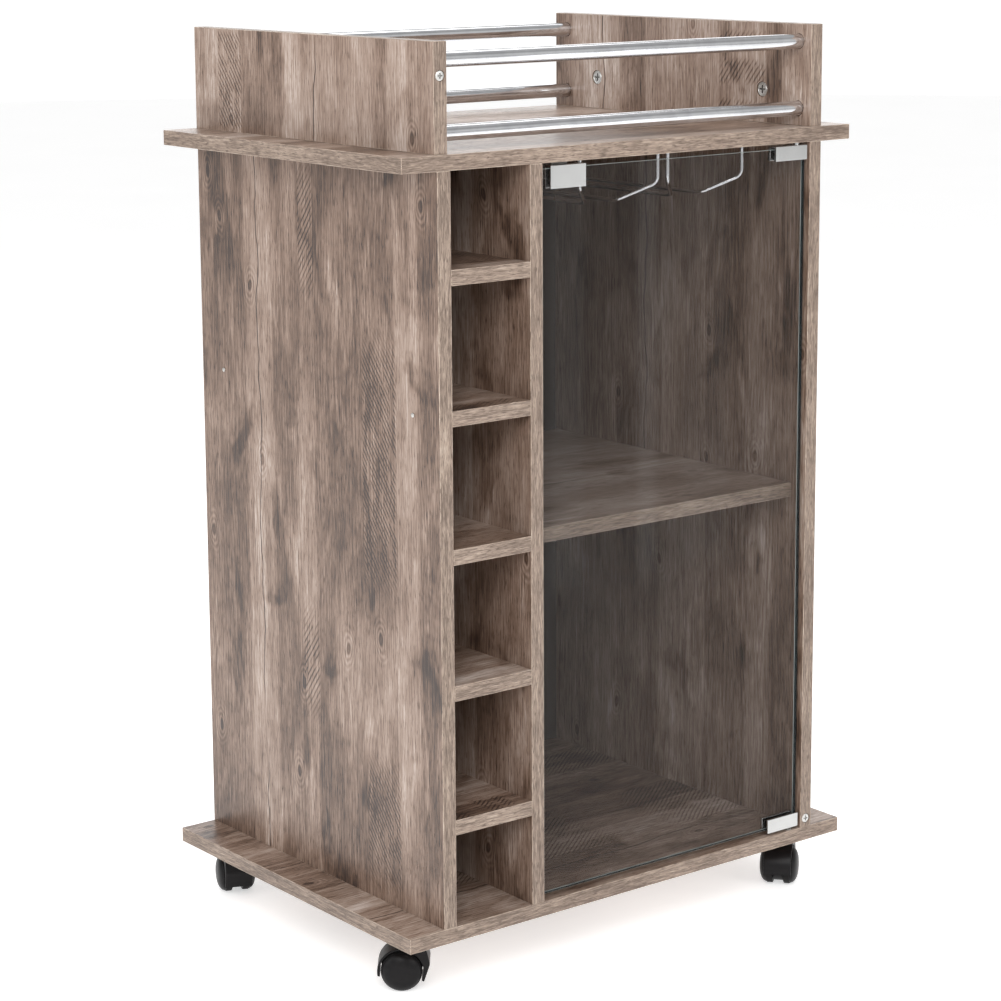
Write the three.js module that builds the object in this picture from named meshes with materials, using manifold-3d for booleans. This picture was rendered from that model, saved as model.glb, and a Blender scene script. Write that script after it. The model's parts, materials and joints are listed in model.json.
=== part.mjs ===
// Bar cart on wheels: a bottle rack, a glass-doored cabinet with stemware hangers, and a railed tray on top.
// Millimetres, +X right, +Y back, +Z up. Origin on the floor, under the middle of the cart.
import * as THREE from 'three';
import { mergeVertices } from 'three/addons/utils/BufferGeometryUtils.js';
import Module from 'manifold-3d';

const wasm = await Module();
wasm.setup();

// ---- Driving dimensions ----
const cartWidth = 562;
const cartDepth = 408;
const boardThickness = 15;
const backThickness = 3;
const sideHeight = 720;
const sideInset = 40;

const bottleWidth = 92;
const bottlePitch = 131;
const bottleShelfCount = 5;
const cabinetShelfSetback = 20;
const cabinetShelfDepth = 380;
const cabinetShelfPlay = 0.5;

const galleryHeight = 102;
const gallerySideInset = 38;
const galleryEndInset = 2;
const railDiameter = 15;
const railInset = 20.5;
const railEdgeDistance = 17.5;
const railSeat = 9.5;
const camDiameter = 15;
const camDepth = 12;
const camEdgeDistance = 34;
const camInset = 73;

const glassThickness = 5;
const glassSetback = 4.5;
const glassEndGap = 5.5;
const glassSideGap = 3;
const clipWidth = 43;
const clipHeight = 15;
const clipWall = 3.5;
const clipEndGap = 2.5;
const pivotInset = 13;
const pivotPinDiameter = 6;
const pivotPinReach = 7.5;
const bushDiameter = 10;
const bushDepth = 9.5;
const strikeWidth = 43;
const strikeHeight = 22;
const strikeWall = 2;
const strikeInset = 11.5;
const strikeTopGap = 3;

const catchWidth = 20;
const catchLength = 60;
const catchHeight = 18;
const catchSetback = 4;
const plungerDiameter = 9;
const plungerLength = 30;
const plungerDrop = 9;
const plungerOvertravel = 2;

const wireDiameter = 4;
const wireBend = 7;
const hangerPitch = 111.5;
const hangerLegSpread = 98.5;
const hangerSlot = 39;
const hangerSetback = 28;
const hangerLegDrop = 31;
const hangerRailDrop = 48.5;
const hangerFlareRun = 28;
const hangerLength = 302;
const wireSeat = 8;

const shelfPinDiameter = 5;
const shelfPinReach = 8;
const shelfPinInset = 37;
const edgeScrewHead = 9.6;
const edgeScrewHeadThickness = 1.4;
const edgeScrewShank = 4;
const edgeScrewLength = 24;
const galleryScrewHeight = 71;
const sideScrewHeight = 9;
const sidePinHead = 4.4;
const sidePinHeadThickness = 1;
const sidePinShank = 2.4;
const sidePinLength = 30;
const sidePinInset = 41;
const sidePinShelf = 1;

const wheelDiameter = 40;
const casterRise = 15;
const wheelGap = 11.2;
const treadWidth = 6.6;
const wheelDome = 8.3;
const axleDiameter = 5;
const casterTrail = 15;
const casterInsetX = 40;
const casterInsetY = 44;
const hoodWidth = 29;
const hoodWall = 2.2;
const hoodClearance = 1.3;
const hoodTipAngle = -0.22;
const noseBeyond = 4;
const noseCornerRise = 7.5;
const noseSlope = 2;
const noseShoulderDrop = 6.5;
const noseTipBeyond = 0.3;
const noseTipTurn = 24.8;
const webWidth = 10;
const webRadius = 17;
const stemDiameter = 8;
const stemReach = 15;
const bossDiameter = 17;
const platePad = 38;
const plateThickness = 2.5;
const raceDiameter = 22;
const raceThickness = 2;
const swivelGap = 0.5;

// ---- Clearances ----
const seatGap = 0.3;
const runningGap = 0.12;
const pivotPlay = 0.15;
const cut = 1;

// ---- Levels and faces that follow from them ----
const casterHeight = wheelDiameter + casterRise;
const baseBottom = casterHeight;
const baseTop = baseBottom + boardThickness;
const topBottom = baseTop + sideHeight;
const topTop = topBottom + boardThickness;
const galleryTop = topTop + galleryHeight;
const front = -cartDepth / 2;
const back = cartDepth / 2;
const sideOuter = cartWidth / 2 - sideInset;
const sideInner = sideOuter - boardThickness;
const backFront = back - backThickness;
const dividerLeft = -sideInner + bottleWidth;
const dividerRight = dividerLeft + boardThickness;
const middleLevel = baseTop + sideHeight / 2;
const galleryOuter = cartWidth / 2 - gallerySideInset;
const galleryInner = galleryOuter - boardThickness;
const galleryFront = front + galleryEndInset;
const bottleShelfLevels = Array.from(
  { length: bottleShelfCount },
  (_, row) => middleLevel + ((bottleShelfCount - 1) / 2 - row) * bottlePitch,
);
const glassFront = front + glassSetback;
const glassMiddle = glassFront + glassThickness / 2;
const pivotX = sideInner - pivotInset;

// ---- Materials ----
function finish(color, roughness, metalness) {
  return () => new THREE.MeshStandardMaterial({ color, roughness, metalness });
}

const wood = finish(0x968578, 0.7, 0);
const smokedGlass = finish(0x504c48, 0.05, 0);
const chrome = finish(0xd8d8da, 0.15, 1);
const steel = finish(0xb4b4b2, 0.35, 1);
const blackPlastic = finish(0x232122, 0.45, 0);
const greyPlastic = finish(0x8a8886, 0.5, 0);
const backing = finish(0x5c5048, 0.8, 0);

// ---- Solids ----
function toManifold(geometry) {
  const bare = geometry.index ? geometry.clone() : geometry;
  bare.deleteAttribute('normal');
  bare.deleteAttribute('uv');
  const merged = mergeVertices(bare, 1e-4);
  return new wasm.Manifold(new wasm.Mesh({
    numProp: 3,
    vertProperties: Float32Array.from(merged.attributes.position.array),
    triVerts: Uint32Array.from(merged.index.array),
  }));
}

function toGeometry(solid) {
  const mesh = solid.getMesh();
  const geometry = new THREE.BufferGeometry();
  geometry.setAttribute('position', new THREE.BufferAttribute(Float32Array.from(mesh.vertProperties), 3));
  geometry.setIndex(new THREE.BufferAttribute(Uint32Array.from(mesh.triVerts), 1));
  geometry.computeVertexNormals();
  return geometry;
}

function combine(body, { add = [], remove = [] }) {
  let solid = toManifold(body);
  for (const piece of add) solid = solid.add(toManifold(piece));
  for (const piece of remove) solid = solid.subtract(toManifold(piece));
  return toGeometry(solid);
}

// A box between two opposite corners.
function block(low, high) {
  const size = high.map((value, i) => value - low[i]);
  return new THREE.BoxGeometry(...size).translate(...high.map((value, i) => (value + low[i]) / 2));
}

// A round bar from one end to the other along X, Y or Z, with a corner of its outline on each axis.
function bar(axis, diameter, from, to, [a, b], sides = 24) {
  const geometry = new THREE.CylinderGeometry(diameter / 2, diameter / 2, to - from, sides);
  const middle = (from + to) / 2;
  if (axis === 'x') return geometry.rotateZ(-Math.PI / 2).translate(middle, a, b);
  if (axis === 'y') return geometry.translate(a, middle, b);
  return geometry.rotateX(Math.PI / 2).translate(a, b, middle);
}

// The two crossed slots of a screw head or cam, to be cut from a face that looks along X or Y.
function crossSlots(axis, face, [a, b], length, width, depth) {
  const half = [length / 2, width / 2];
  return [half, [half[1], half[0]]].map(([u, v]) => (axis === 'x'
    ? block([face - depth, a - u, b - v], [face + depth, a + u, b + v])
    : block([a - u, face - depth, b - v], [a + u, face + depth, b + v])));
}

// Points along a bent wire: straight runs between corners, each corner rounded by a short arc.
function roundedRoute(corners, radius, arcSteps = 3) {
  const route = [corners[0].clone()];
  for (let i = 1; i < corners.length - 1; i += 1) {
    const toward = corners[i - 1].clone().sub(corners[i]).normalize();
    const onward = corners[i + 1].clone().sub(corners[i]).normalize();
    const start = corners[i].clone().addScaledVector(toward, radius);
    const end = corners[i].clone().addScaledVector(onward, radius);
    const arc = new THREE.QuadraticBezierCurve3(start, corners[i], end);
    route.push(...arc.getPoints(arcSteps));
  }
  route.push(corners.at(-1).clone());
  return route;
}

// A curve that visits its stations at even steps, so that an extrusion has one section at each.
class StationCurve extends THREE.Curve {
  constructor(stations) {
    super();
    this.stations = stations;
  }

  getPointAt(t) {
    const place = t * (this.stations.length - 1);
    const i = Math.min(Math.floor(place), this.stations.length - 2);
    return this.stations[i].clone().lerp(this.stations[i + 1], place - i);
  }

  getTangentAt(t) {
    const i = Math.round(t * (this.stations.length - 1));
    const before = this.stations[Math.max(i - 1, 0)];
    const after = this.stations[Math.min(i + 1, this.stations.length - 1)];
    return after.clone().sub(before).normalize();
  }
}

function wire(corners, sides = 8) {
  const stations = roundedRoute(corners, wireBend);
  const section = new THREE.Shape();
  for (let i = 0; i < sides; i += 1) {
    const angle = (i / sides) * 2 * Math.PI;
    const point = [Math.cos(angle) * wireDiameter / 2, Math.sin(angle) * wireDiameter / 2];
    if (i) section.lineTo(...point);
    else section.moveTo(...point);
  }
  section.closePath();
  return new THREE.ExtrudeGeometry(section, {
    steps: stations.length - 1,
    bevelEnabled: false,
    extrudePath: new StationCurve(stations),
  });
}

const cart = new THREE.Group();

function place(name, geometry, material, parent = cart) {
  const mesh = new THREE.Mesh(geometry, material());
  mesh.name = name;
  parent.add(mesh);
  return mesh;
}

// ---- Places shared by the pieces that meet there ----
const sidePinY = [front + sidePinInset, back - sidePinInset];
const sidePinZ = bottleShelfLevels[sidePinShelf];
const sidePins = sidePinY.map((y) => ({ y, z: sidePinZ }));
const shelfUnderside = middleLevel - boardThickness / 2;
const shelfPinZ = shelfUnderside - shelfPinDiameter / 2;
const cabinetShelfFront = front + cabinetShelfSetback;
const cabinetShelfBack = cabinetShelfFront + cabinetShelfDepth;
const shelfPinY = [cabinetShelfFront + shelfPinInset, cabinetShelfBack - shelfPinInset];
const hangerX = [-1, 1].map((side) => (dividerRight + sideInner) / 2 + side * hangerPitch / 2);
const hangerLegY = front + hangerSetback;
const hangerLegX = hangerX.flatMap((x) => [x - hangerLegSpread / 2, x + hangerLegSpread / 2]);
const railY = [front + railInset, back - railInset];
const railZ = [topTop + railEdgeDistance, galleryTop - railEdgeDistance];
const camY = [front + camInset, back - camInset];
const camZ = topTop + camEdgeDistance;
const galleryScrew = {
  x: -galleryOuter + boardThickness / 2,
  y: galleryFront,
  z: topTop + galleryScrewHeight,
};
const sideScrew = { x: sideOuter - boardThickness / 2, y: front, z: baseTop + sideScrewHeight };

// ---- Boards ----
const screwSeat = edgeScrewHeadThickness + seatGap;

// A screw's shank hole and the counterbore that lets its head in flush with the edge.
const screwHoles = ({ x, y, z }) => [
  bar('y', edgeScrewShank + 2 * seatGap, y - cut, y + edgeScrewLength + seatGap, [x, z], 12),
  bar('y', edgeScrewHead + 2 * seatGap, y - cut, y + screwSeat, [x, z], 20),
];

function pivotHole(face, into) {
  const ends = [face - into * cut, face + into * (bushDepth + seatGap)].sort((a, b) => a - b);
  return bar('z', bushDiameter + 2 * seatGap, ...ends, [pivotX, glassMiddle]);
}

place('base_board', combine(
  block([-cartWidth / 2, front, baseBottom], [cartWidth / 2, back, baseTop]),
  { remove: [pivotHole(baseTop, -1)] },
), wood);

place('top_board', combine(
  block([-cartWidth / 2, front, topBottom], [cartWidth / 2, back, topTop]),
  {
    remove: [
      pivotHole(topBottom, 1),
      ...hangerLegX.map((x) => bar(
        'z', wireDiameter + 2 * seatGap, topBottom - cut, topBottom + wireSeat + seatGap, [x, hangerLegY], 12,
      )),
    ],
  },
), wood);

const sidePinHoles = sidePins.map(({ y, z }) => bar(
  'x', sidePinShank + 2 * seatGap, -sideOuter - cut, -sideOuter + sidePinLength + seatGap, [y, z], 12,
));

const shelfPinHole = (face, into, y) => {
  const ends = [face - into * cut, face + into * (shelfPinReach + seatGap)].sort((a, b) => a - b);
  return bar('x', shelfPinDiameter + 2 * seatGap, ...ends, [y, shelfPinZ], 12);
};

place('left_side_panel', combine(
  block([-sideOuter, front, baseTop], [-sideInner, back, topBottom]),
  { remove: sidePinHoles },
), wood);

place('right_side_panel', combine(
  block([sideInner, front, baseTop], [sideOuter, back, topBottom]),
  { remove: [...screwHoles(sideScrew), ...shelfPinY.map((y) => shelfPinHole(sideInner, 1, y))] },
), wood);

place('divider_panel', combine(
  block([dividerLeft, front, baseTop], [dividerRight, backFront, topBottom]),
  { remove: shelfPinY.map((y) => shelfPinHole(dividerRight, -1, y)) },
), wood);

place('back_panel', block([-sideInner, backFront, baseTop], [sideInner, back, topBottom]), backing);

bottleShelfLevels.forEach((level, row) => {
  const shelf = block(
    [-sideInner, front, level - boardThickness / 2],
    [dividerLeft, backFront, level + boardThickness / 2],
  );
  const holes = row === sidePinShelf ? sidePinHoles : [];
  place(`bottle_shelf_${row + 1}`, combine(shelf, { remove: holes }), wood);
});

place('cabinet_shelf', block(
  [dividerRight + cabinetShelfPlay, cabinetShelfFront, shelfUnderside],
  [sideInner - cabinetShelfPlay, cabinetShelfBack, shelfUnderside + boardThickness],
), wood);

// ---- Shelf pins, side pins and edge screws ----
for (const [side, face] of [['left', dividerRight], ['right', sideInner]]) {
  shelfPinY.forEach((y, i) => {
    const pin = bar(
      'x', shelfPinDiameter, face - shelfPinReach, face + shelfPinReach, [y, shelfPinZ - seatGap], 12,
    );
    place(`shelf_pin_${side}_${i ? 'rear' : 'front'}`, pin, steel);
  });
}

sidePins.forEach(({ y, z }, i) => {
  const headInner = -sideOuter - seatGap;
  const headOuter = headInner - sidePinHeadThickness;
  const shank = bar('x', sidePinShank, (headInner + headOuter) / 2, -sideOuter + sidePinLength, [y, z], 12);
  const head = bar('x', sidePinHead, headOuter, headInner, [y, z], 12);
  place(`side_pin_${i ? 'rear' : 'front'}`, combine(head, { add: [shank] }), steel);
});

function edgeScrew(name, { x, y, z }) {
  const head = bar('y', edgeScrewHead, y, y + edgeScrewHeadThickness, [x, z], 20);
  const shank = bar('y', edgeScrewShank, y + edgeScrewHeadThickness / 2, y + edgeScrewLength, [x, z], 12);
  place(name, combine(head, { add: [shank], remove: crossSlots('y', y, [x, z], 5.4, 1.3, 0.9) }), steel);
}
edgeScrew('edge_screw_gallery', galleryScrew);
edgeScrew('edge_screw_side', sideScrew);

// ---- Gallery: two end panels, four rails and the cam locks that hold the panels down ----
for (const [side, s] of [['left', -1], ['right', 1]]) {
  const faces = [s * galleryInner, s * galleryOuter].sort((a, b) => a - b);
  const seat = [s * (galleryInner - cut), s * (galleryInner + railSeat + seatGap)].sort((a, b) => a - b);
  const pocket = [s * (galleryInner - cut), s * (galleryInner + camDepth + seatGap)].sort((a, b) => a - b);
  const holes = [
    ...railY.flatMap((y) => railZ.map((z) => bar('x', railDiameter + 2 * seatGap, ...seat, [y, z]))),
    ...camY.map((y) => bar('x', camDiameter + 2 * seatGap, ...pocket, [y, camZ])),
  ];
  if (side === 'left') holes.push(...screwHoles(galleryScrew));
  place(`gallery_panel_${side}`, combine(
    block([faces[0], galleryFront, topTop], [faces[1], -galleryFront, galleryTop]),
    { remove: holes },
  ), wood);

  camY.forEach((y, i) => {
    const recess = 0.6;
    const face = s * (galleryInner + recess);
    const ends = [face, s * (galleryInner + camDepth)].sort((a, b) => a - b);
    place(`cam_lock_${side}_${i ? 'rear' : 'front'}`, combine(
      bar('x', camDiameter, ...ends, [y, camZ]),
      { remove: crossSlots('x', face, [y, camZ], 8.5, 1.8, 2.4) },
    ), steel);
  });
}

const railReach = galleryInner + railSeat;
railY.forEach((y, i) => railZ.forEach((z, j) => {
  const rail = bar('x', railDiameter, -railReach, railReach, [y, z]);
  place(`rail_${i ? 'rear' : 'front'}_${j ? 'upper' : 'lower'}`, rail, chrome);
}));

// ---- Glass door, its pivot clips and the strike plate ----
const glassLow = baseTop + glassEndGap;
const glassHigh = topBottom - glassEndGap;
const glassRight = sideInner - glassSideGap;
const glassLeft = dividerRight + glassSideGap;
const glassBack = glassFront + glassThickness;
place('glass_door', block(
  [glassLeft, glassFront, glassLow],
  [glassRight, glassBack, glassHigh],
), smokedGlass);

const clipFront = glassFront - clipWall;
const clipBack = glassBack + clipWall;
const glassSlot = (low, high) => block(
  [glassLeft - clipWidth, glassFront - seatGap, low],
  [glassRight + clipWidth, glassBack + seatGap, high],
);
const pivotBore = (low, high) => bar('z', pivotPinDiameter + 2 * pivotPlay, low, high, [pivotX, glassMiddle]);

// Each end of the door: the clip grips the glass, its pin turns in a bush let into the board.
const doorEnds = [
  ['lower', baseTop, glassLow, 1],
  ['upper', topBottom, glassHigh, -1],
];
for (const [level, boardFace, glassEdge, s] of doorEnds) {
  const between = (a, b) => [boardFace + s * a, boardFace + s * b].sort((p, q) => p - q);
  const [clipLow, clipHigh] = between(clipEndGap, clipEndGap + clipHeight);
  const slotMouth = boardFace + s * (clipEndGap + clipHeight + cut);
  const slotEnds = [glassEdge - s * seatGap, slotMouth].sort((p, q) => p - q);
  const pinEnds = between(-pivotPinReach, clipEndGap + cut / 2);
  const right = glassRight + seatGap;
  place(`hinge_clip_${level}`, combine(
    block([right - clipWidth, clipFront, clipLow], [right, clipBack, clipHigh]),
    {
      remove: [glassSlot(...slotEnds)],
      add: [bar('z', pivotPinDiameter, ...pinEnds, [pivotX, glassMiddle])],
    },
  ), chrome);
  place(`pivot_bush_${level}`, combine(
    bar('z', bushDiameter, ...between(-bushDepth, 0), [pivotX, glassMiddle]),
    { remove: [pivotBore(...between(-bushDepth - cut, cut))] },
  ), greyPlastic);
}

const strikeLeft = dividerRight + strikeInset;
const strikeTop = topBottom - strikeTopGap;
const strikeFront = glassFront - strikeWall - seatGap;
const strikeBack = glassBack + strikeWall + seatGap;
const strikeBottom = strikeTop - strikeHeight;
place('strike_plate', combine(
  block([strikeLeft, strikeFront, strikeBottom], [strikeLeft + strikeWidth, strikeBack, strikeTop]),
  { remove: [glassSlot(strikeBottom - cut, glassHigh + seatGap)] },
), chrome);

// ---- Push latch behind the strike plate ----
const catchX = strikeLeft + strikeWidth / 2;
const catchFront = strikeBack + catchSetback;
const plungerAxis = [catchX, topBottom - plungerDrop];
const plungerFront = strikeBack + seatGap;
const plungerBack = plungerFront + plungerLength;
place('latch_housing', combine(
  block(
    [catchX - catchWidth / 2, catchFront, topBottom - catchHeight],
    [catchX + catchWidth / 2, catchFront + catchLength, topBottom],
  ),
  {
    remove: [
      bar('y', plungerDiameter + 2 * seatGap, catchFront - cut, plungerBack + plungerOvertravel, plungerAxis),
    ],
  },
), greyPlastic);
place('latch_plunger', bar('y', plungerDiameter, plungerFront, plungerBack, plungerAxis), steel);

// ---- Stemware hangers: one bent wire each, with two flared front legs and a closed back ----
hangerX.forEach((x, i) => {
  const railLevel = topBottom - hangerRailDrop;
  const bendLevel = topBottom - hangerLegDrop;
  const bridgeLevel = topBottom - wireDiameter / 2 - seatGap;
  const rearY = hangerLegY + hangerLength;
  const half = (s) => [
    new THREE.Vector3(x + s * hangerLegSpread / 2, hangerLegY, topBottom + wireSeat),
    new THREE.Vector3(x + s * hangerLegSpread / 2, hangerLegY, bendLevel),
    new THREE.Vector3(x + s * hangerSlot / 2, hangerLegY + hangerFlareRun, railLevel),
    new THREE.Vector3(x + s * hangerSlot / 2, rearY, railLevel),
    new THREE.Vector3(x + s * hangerSlot / 2, rearY, bridgeLevel),
  ];
  place(`stemware_hanger_${i ? 'right' : 'left'}`, wire([...half(-1), ...half(1).reverse()]), chrome);
});

// ---- Casters ----
// A caster's own frame has its swivel axis at x = 0, its wheels trailing at +x and its axle along y.
const wheelRadius = wheelDiameter / 2;
const hoodInside = wheelRadius + hoodClearance;
const hoodOutside = hoodInside + hoodWall;
const bossTop = casterHeight - plateThickness - raceThickness - swivelGap;
const stemBottom = casterHeight - plateThickness - raceThickness - stemReach;
const innerWheelFace = wheelGap / 2;

function wheel() {
  const tread = innerWheelFace + treadWidth;
  const bore = axleDiameter / 2 + runningGap;
  const edge = 0.8;
  const boreEnd = tread + wheelDome / 2;
  const domeSteps = 4;
  const dome = Array.from({ length: domeSteps }, (_, i) => {
    const angle = ((i + 1) / domeSteps) * Math.PI / 2;
    return [wheelRadius * Math.cos(angle) ** 0.8, tread + wheelDome * Math.sin(angle)];
  });
  dome[domeSteps - 1][0] = 0;
  const profile = [
    [0, boreEnd],
    [bore, boreEnd],
    [bore, innerWheelFace],
    [wheelRadius - edge, innerWheelFace],
    [wheelRadius, innerWheelFace + edge],
    [wheelRadius, tread],
    ...dome,
  ].map(([r, w]) => new THREE.Vector2(r, w));
  return new THREE.LatheGeometry(profile, 24);
}

// The hood in side view: an arc over the wheels, a flat top round the stem and a pointed nose in front.
function hoodOutline() {
  const centre = [casterTrail, wheelRadius];
  const noseReach = hoodOutside + noseBeyond;
  const corner = [casterTrail - noseReach, wheelRadius + noseCornerRise];
  const shoulder = [corner[0] + noseSlope, wheelRadius + hoodOutside - noseShoulderDrop];
  const tipTurn = Math.PI + THREE.MathUtils.degToRad(noseTipTurn);
  const tipRadius = hoodOutside + noseTipBeyond;
  const tip = [centre[0] + tipRadius * Math.cos(tipTurn), centre[1] + tipRadius * Math.sin(tipTurn)];
  const shape = new THREE.Shape();
  shape.moveTo(
    centre[0] + hoodInside * Math.cos(hoodTipAngle),
    centre[1] + hoodInside * Math.sin(hoodTipAngle),
  );
  shape.absarc(...centre, hoodOutside, 0, Math.PI / 2, false);
  shape.lineTo(shoulder[0] + hoodWall, wheelRadius + hoodOutside);
  shape.lineTo(...shoulder);
  shape.lineTo(...corner);
  shape.lineTo(...tip);
  shape.absarc(...centre, hoodInside, tipTurn, hoodTipAngle, true);
  shape.closePath();
  return shape;
}

// Stands an outline drawn in x and z up, and gives it a thickness centred on y = 0.
function slab(shape, width) {
  const geometry = new THREE.ExtrudeGeometry(shape, { depth: width, bevelEnabled: false, curveSegments: 10 });
  return geometry.rotateX(Math.PI / 2).translate(0, width / 2, 0);
}

function hood() {
  // The web reaches up into the hood just above where its straight sides meet the arc.
  const webTop = wheelRadius + Math.sqrt(hoodInside ** 2 - webRadius ** 2) + hoodWall / 3;
  const web = new THREE.Shape();
  web.absarc(casterTrail, wheelRadius, webRadius, Math.PI, 2 * Math.PI, false);
  web.lineTo(casterTrail + webRadius, webTop);
  web.lineTo(casterTrail - webRadius, webTop);
  web.closePath();
  const centre = [0, 0];
  return combine(slab(hoodOutline(), hoodWidth), {
    add: [
      slab(web, webWidth),
      bar('z', bossDiameter, wheelRadius + hoodInside - cut, bossTop, centre),
    ],
    remove: [
      bar('z', stemDiameter + 2 * runningGap, stemBottom - cut, bossTop + cut, centre),
      bar('y', axleDiameter + runningGap, -webWidth, webWidth, [casterTrail, wheelRadius]),
    ],
  });
}

function mountPlate() {
  const raceTop = casterHeight - plateThickness;
  const plate = block([-platePad / 2, -platePad / 2, raceTop], [platePad / 2, platePad / 2, casterHeight]);
  return combine(plate, {
    add: [
      bar('z', raceDiameter, raceTop - raceThickness, raceTop + cut, [0, 0]),
      bar('z', stemDiameter, stemBottom, raceTop, [0, 0]),
    ],
  });
}

const casterX = cartWidth / 2 - casterInsetX;
const casterY = cartDepth / 2 - casterInsetY;
const casters = [
  ['front_left', -casterX, -casterY, 142],
  ['front_right', casterX, -casterY, 220],
  ['rear_left', -casterX, casterY, 67],
  ['rear_right', casterX, casterY, 25],
];
const axleHalf = innerWheelFace + treadWidth + wheelDome / 2 - cut / 2;

for (const [corner, x, y, trailDegrees] of casters) {
  const mounted = new THREE.Group();
  mounted.position.set(x, y, 0);
  cart.add(mounted);
  place(`caster_plate_${corner}`, mountPlate(), steel, mounted);

  const swivel = new THREE.Group();
  swivel.rotation.z = THREE.MathUtils.degToRad(trailDegrees);
  mounted.add(swivel);
  place(`caster_hood_${corner}`, hood(), blackPlastic, swivel);
  const axle = bar('y', axleDiameter, -axleHalf, axleHalf, [casterTrail, wheelRadius]);
  place(`caster_axle_${corner}`, axle, steel, swivel);
  for (const [side, s] of [['a', 1], ['b', -1]]) {
    const turned = place(`caster_wheel_${corner}_${side}`, wheel(), blackPlastic, swivel);
    turned.position.set(casterTrail, 0, wheelRadius);
    turned.rotation.z = s > 0 ? 0 : Math.PI;
  }
}

export default cart;
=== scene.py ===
"""The looks of a bar cart on wheels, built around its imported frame. Metres, +Z up, front at -Y."""

import json
import math
import random

import bmesh
import bpy
from mathutils import Matrix, Vector

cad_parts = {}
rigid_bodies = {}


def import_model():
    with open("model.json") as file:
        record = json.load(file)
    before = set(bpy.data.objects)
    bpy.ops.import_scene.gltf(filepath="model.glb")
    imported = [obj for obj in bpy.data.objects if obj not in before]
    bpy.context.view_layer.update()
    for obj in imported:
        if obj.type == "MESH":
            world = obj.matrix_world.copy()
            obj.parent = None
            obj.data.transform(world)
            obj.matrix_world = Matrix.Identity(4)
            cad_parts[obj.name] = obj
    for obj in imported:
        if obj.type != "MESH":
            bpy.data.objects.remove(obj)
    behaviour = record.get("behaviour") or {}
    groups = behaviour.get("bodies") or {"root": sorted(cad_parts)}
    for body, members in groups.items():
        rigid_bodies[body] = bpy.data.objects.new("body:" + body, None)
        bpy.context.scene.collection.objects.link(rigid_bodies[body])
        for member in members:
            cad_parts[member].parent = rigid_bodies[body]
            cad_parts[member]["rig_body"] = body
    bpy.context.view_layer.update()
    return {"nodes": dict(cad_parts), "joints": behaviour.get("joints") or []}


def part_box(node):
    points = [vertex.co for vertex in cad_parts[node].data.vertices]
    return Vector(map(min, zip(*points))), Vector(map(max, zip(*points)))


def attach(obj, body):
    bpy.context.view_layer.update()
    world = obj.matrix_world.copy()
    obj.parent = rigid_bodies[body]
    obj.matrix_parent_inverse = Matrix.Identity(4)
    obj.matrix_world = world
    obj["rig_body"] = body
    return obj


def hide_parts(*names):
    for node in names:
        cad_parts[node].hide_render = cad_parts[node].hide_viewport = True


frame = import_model()

MM = 0.001
X, Y, Z = 0, 1, 2
AXES = [Vector((1, 0, 0)), Vector((0, 1, 0)), Vector((0, 0, 1))]

# ---- Camera: the viewing angle and framing ----
camera_place = Vector((-1.71418, -2.18238, 1.03086))
camera_look = Vector((0.59998, 0.78009, -0.17743))
camera_roll = math.radians(-0.386)
camera_lens = 98.55
camera_shift = (0.01913, -0.1062)


def make_camera():
    data = bpy.data.cameras.new("camera")
    data.lens = camera_lens
    data.sensor_width = 36
    data.shift_x, data.shift_y = camera_shift
    data.clip_end = 50
    look = camera_look.normalized()
    right = look.cross(AXES[Z]).normalized()
    up = right.cross(look)
    cos, sin = math.cos(camera_roll), math.sin(camera_roll)
    turned = Matrix((cos * right + sin * up, cos * up - sin * right, -look)).transposed()
    camera = bpy.data.objects.new("camera", data)
    bpy.context.scene.collection.objects.link(camera)
    camera.matrix_world = Matrix.Translation(camera_place) @ turned.to_4x4()
    bpy.context.scene.camera = camera


make_camera()


# ---- Colours ----
def srgb(red, green, blue):
    """A screen colour, 0 to 255, as the linear values that a shader takes."""
    linear = [
        ((c / 255 + 0.055) / 1.055) ** 2.4 if c > 10 else c / 255 / 12.92 for c in (red, green, blue)
    ]
    return (*linear, 1.0)


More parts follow.
